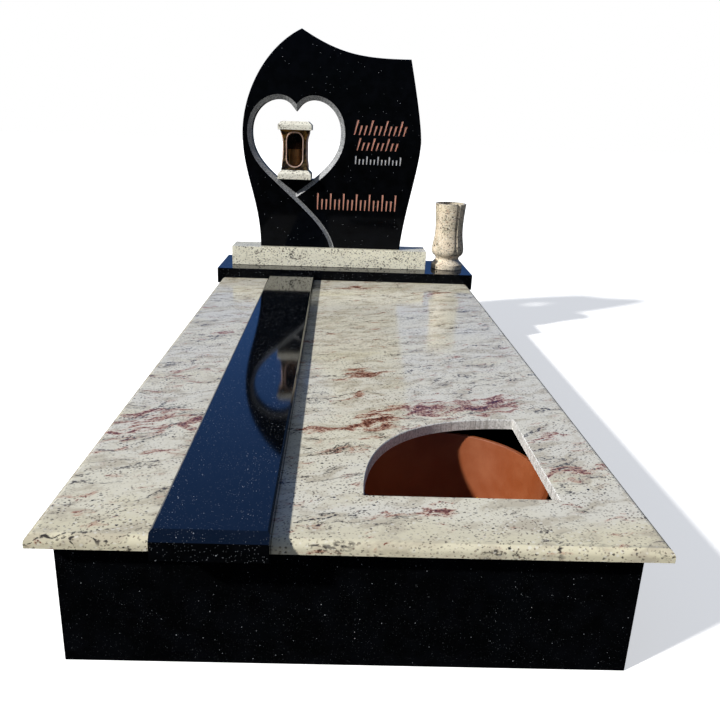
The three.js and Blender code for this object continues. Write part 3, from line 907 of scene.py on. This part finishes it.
low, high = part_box("vase")
vase_middle = bottom_middle(low, high)
outer_run = smooth_profile([(radius - PANEL["raise"], up) for radius, up in VASE_PROFILE], steps=6)
foot_radius = outer_run[0].x
top_radius, rim_height = outer_run[-1]
inner_run = [(radius - VASE_WALL, up) for radius, up in reversed(VASE_PROFILE) if up > VASE_FLOOR]
vase = spun("flower_vase", [
    (0, 0), (foot_radius - VASE_EDGE["in"], 0), (foot_radius, VASE_EDGE["in"]),
    *outer_run[1:-1],
    (top_radius, rim_height - VASE_EDGE["down"]), (top_radius - VASE_EDGE["in"], rim_height),
    (top_radius - VASE_WALL + VASE_EDGE["bore"], rim_height),
    *inner_run,
    (inner_run[-1][0], VASE_FLOOR), (0, VASE_FLOOR)], vase_middle, steps=192)
for corner in vase.data.vertices:
    across, back = corner.co.x - vase_middle.x, corner.co.y - vase_middle.y
    radius, height = hypot(across, back), corner.co.z - vase_middle.z
    wall_radius = next((p.x for p in outer_run if p.y >= height), top_radius) - VASE_WALL / 2
    if radius > wall_radius:
        share = ((atan2(across, -back) - PANEL["turn"]) / (tau / 4)) % 1
        offset = abs(share - 0.5) * 2
        start = PANEL["lowest"] + PANEL["corner"] * offset ** 4
        carved = step((height - start) / PANEL["slope"])
        sunk = step((offset - PANEL["side"]) / (1 - PANEL["side"]))
        raised = PANEL["raise"] - (PANEL["raise"] + PANEL["groove"]) * sunk
        grown = 1 + carved * raised / radius
        corner.co.x = vase_middle.x + across * grown
        corner.co.y = vase_middle.y + back * grown
vase_stone = cream_granite("cream granite vase", WARMER, CLOSE_GRAINS, red=0.5, ochre=0.3, cloud=0.9)
vase.data.materials.append(vase_stone)
smooth(vase, angle=40)
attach(vase, "root")
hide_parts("vase")

# The planter tub: moulded, terracotta-coloured, thin-walled with a turned-out rim. It stands on the ground
# under the cut-out and shows its inside.
TUB_FOOT = 0.148
TUB_WALL = 0.004
TUB_LIP = {"deep": 0.009, "out": 0.002}
TUB_EDGE = 0.001
TUB_HEEL = 0.004
TUB_ROUND = 0.010  # between its wall and its floor, inside
TERRACOTTA = (0.25, 0.060, 0.016, 1)
DUSTY = (0.30, 0.085, 0.026, 1)
SCUFF = (0.10, 0.03, 0.012, 1)
YELLOW_FLECK = (0.75, 0.42, 0.03, 1)

low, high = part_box("planter_tub")
tub_top, tub_rim = high.z - low.z, (high.x - low.x) / 2
lip_bottom = tub_top - TUB_LIP["deep"]
wall_outside = tub_rim - TUB_WALL - TUB_LIP["out"]
wall_inside = wall_outside - TUB_WALL
foot_inside = TUB_FOOT - TUB_WALL
tub = spun("terracotta_tub", [
    (0, 0), (TUB_FOOT - TUB_HEEL, 0), (TUB_FOOT - TUB_EDGE, TUB_EDGE), (TUB_FOOT, TUB_HEEL),
    (wall_outside, lip_bottom), (tub_rim - TUB_EDGE, lip_bottom), (tub_rim, lip_bottom + TUB_EDGE),
    (tub_rim, tub_top - 2 * TUB_EDGE), (tub_rim - 2 * TUB_EDGE, tub_top),
    (wall_inside + TUB_EDGE, tub_top), (wall_inside, tub_top - 2 * TUB_EDGE),
    (foot_inside, TUB_WALL + TUB_ROUND), (foot_inside - TUB_ROUND, TUB_WALL), (0, TUB_WALL)],
    bottom_middle(low, high), steps=128)
material, tree = new_material("terracotta", roughness=0.5)
place = place_in(tree)
dust = noise(tree, place, scale=18, detail=5, roughness=0.6)
colour = laid_over(tree, fade(tree, dust, 0.35, 0.75), TERRACOTTA, DUSTY)
scuffs, _ = grains(tree, place, spacing=0.04, size=0.006, share=0.3)
colour = laid_over(tree, maths(tree, "MULTIPLY", scuffs, 0.8), colour, SCUFF)
flecks, _ = grains(tree, place, spacing=0.09, size=0.006, share=0.12)
colour = laid_over(tree, flecks, colour, YELLOW_FLECK)
finish(tree, colour, roughness=fade(tree, dust, 0.3, 0.7, least=0.42, most=0.6), bump=dust, depth=0.0004)
tub.data.materials.append(material)
smooth(tub, angle=35)
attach(tub, "root")
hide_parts("planter_tub")

# The studio: a pale floor, a soft bluish sky that is dark low down where it is mirrored, and a sun from the
# left and the front, two thirds of the way down from overhead.
FLOOR_SIZE = 60
FLOOR_SEEN = (0.97, 0.97, 0.97, 1)  # by the camera
FLOOR_GIVEN = (0.20, 0.20, 0.20, 1)  # in the light that it throws back
FLOOR_MIRRORED = (0.006, 0.006, 0.007, 1)  # in polished stone
# Painted shade: the floor inside the kerb is dark, so that it reads as shadow through the cut-out.
FLOOR_PAINTED_SHADE = (0.02, 0.016, 0.012, 1)  # inside the kerb
FLOOR_GLOW = 0.55
UNDER = (0.39, 0.94)  # half the width and half the length of the floor that the kerb shuts in
WHITE = (1, 1, 1, 1)
SKY_SOFT = (0.115, 0.14, 0.19, 1)  # in its light
SKY_LOW = (0.03, 0.045, 0.07, 1)  # mirrored, near the horizon
SKY_HIGH = (0.075, 0.20, 0.56, 1)  # mirrored, higher up
SKY_TURNS = (0.03, 0.30)  # the mirrored sky goes from low to high between these values of Z
SUN_FROM = Vector((-1.3, -0.7, 1))
SUN = {"energy": 4.4, "angle": radians(3), "color": (1, 0.98, 0.94)}

bpy.ops.object.select_all(action="DESELECT")
bpy.ops.mesh.primitive_plane_add(size=FLOOR_SIZE)
floor = bpy.context.active_object
floor.name = "studio_floor"
material, tree = new_material("pale floor", roughness=0.9, Specular_IOR_Level=0)
ray = node(tree, "ShaderNodeLightPath").outputs
reach = node(tree, "ShaderNodeSeparateXYZ", {"Vector": place_in(tree)}).outputs
aside = maths(tree, "GREATER_THAN", maths(tree, "ABSOLUTE", reach["X"]), UNDER[0])
beyond = maths(tree, "GREATER_THAN", maths(tree, "ABSOLUTE", reach["Y"]), UNDER[1])
outside = maths(tree, "MAXIMUM", aside, beyond)
shown = laid_over(tree, ray["Is Camera Ray"], FLOOR_GIVEN, FLOOR_SEEN)
shown = laid_over(tree, ray["Is Glossy Ray"], shown, FLOOR_MIRRORED)
# Inside the kerb the floor takes its dark colour, as painted shade.
finish(tree, laid_over(tree, outside, FLOOR_PAINTED_SHADE, shown))
shader = tree.nodes["Principled BSDF"]
shader.inputs["Emission Color"].default_value = WHITE
glow = maths(tree, "MULTIPLY", maths(tree, "MULTIPLY", ray["Is Camera Ray"], outside), FLOOR_GLOW)
tree.links.new(glow, shader.inputs["Emission Strength"])
floor.data.materials.append(material)

world = bpy.data.worlds.new("studio")
bpy.context.scene.world = world
world.use_nodes = True
tree = world.node_tree
ray = node(tree, "ShaderNodeLightPath").outputs
direction = node(tree, "ShaderNodeTexCoord").outputs["Generated"]
up = node(tree, "ShaderNodeSeparateXYZ", {"Vector": direction}).outputs["Z"]
mirrored = laid_over(tree, fade(tree, up, *SKY_TURNS), SKY_LOW, SKY_HIGH)
soft = laid_over(tree, ray["Is Glossy Ray"], SKY_SOFT, mirrored)
shown = laid_over(tree, ray["Is Camera Ray"], soft, WHITE)
tree.links.new(shown, tree.nodes["Background"].inputs["Color"])

sun_data = bpy.data.lights.new("sun", "SUN")
for setting, value in SUN.items():
    setattr(sun_data, setting, value)
sun = bpy.data.objects.new("sun", sun_data)
sun.rotation_euler = SUN_FROM.to_track_quat("Z", "Y").to_euler()
bpy.context.scene.collection.objects.link(sun)

# The camera: it stands before the foot of the grave and looks a little down, as in the photograph. Its
# values come from a fit to the slabs' straight edges, in the image's pixels, in metres and in radians.
IMAGE = (720, 702)
FOCAL_PIXELS = 704.394
PRINCIPAL = (347.103, 351.011)
CAMERA_AT = (-0.03196, -1.81187, 0.77649)
YAW, PITCH, ROLL = 0.019, 0.311, -0.034
SENSOR = 36

forward = Vector((sin(YAW) * cos(PITCH), cos(YAW) * cos(PITCH), -sin(PITCH)))
level = Vector((cos(YAW), -sin(YAW), 0))
down = forward.cross(level)
right = cos(ROLL) * level + sin(ROLL) * down
below = cos(ROLL) * down - sin(ROLL) * level
camera_data = bpy.data.cameras.new("camera")
camera_data.sensor_width = SENSOR
camera_data.lens = FOCAL_PIXELS * SENSOR / IMAGE[0]
camera_data.shift_x = (IMAGE[0] / 2 - PRINCIPAL[0]) / IMAGE[0]
camera_data.shift_y = (PRINCIPAL[1] - IMAGE[1] / 2) / IMAGE[0]
camera = bpy.data.objects.new("camera", camera_data)
camera.matrix_world = Matrix((
    (right.x, -below.x, -forward.x, CAMERA_AT[0]),
    (right.y, -below.y, -forward.y, CAMERA_AT[1]),
    (right.z, -below.z, -forward.z, CAMERA_AT[2]),
    (0, 0, 0, 1)))
bpy.context.scene.collection.objects.link(camera)
bpy.context.scene.camera = camera
bpy.context.scene.view_settings.view_transform = "Standard"
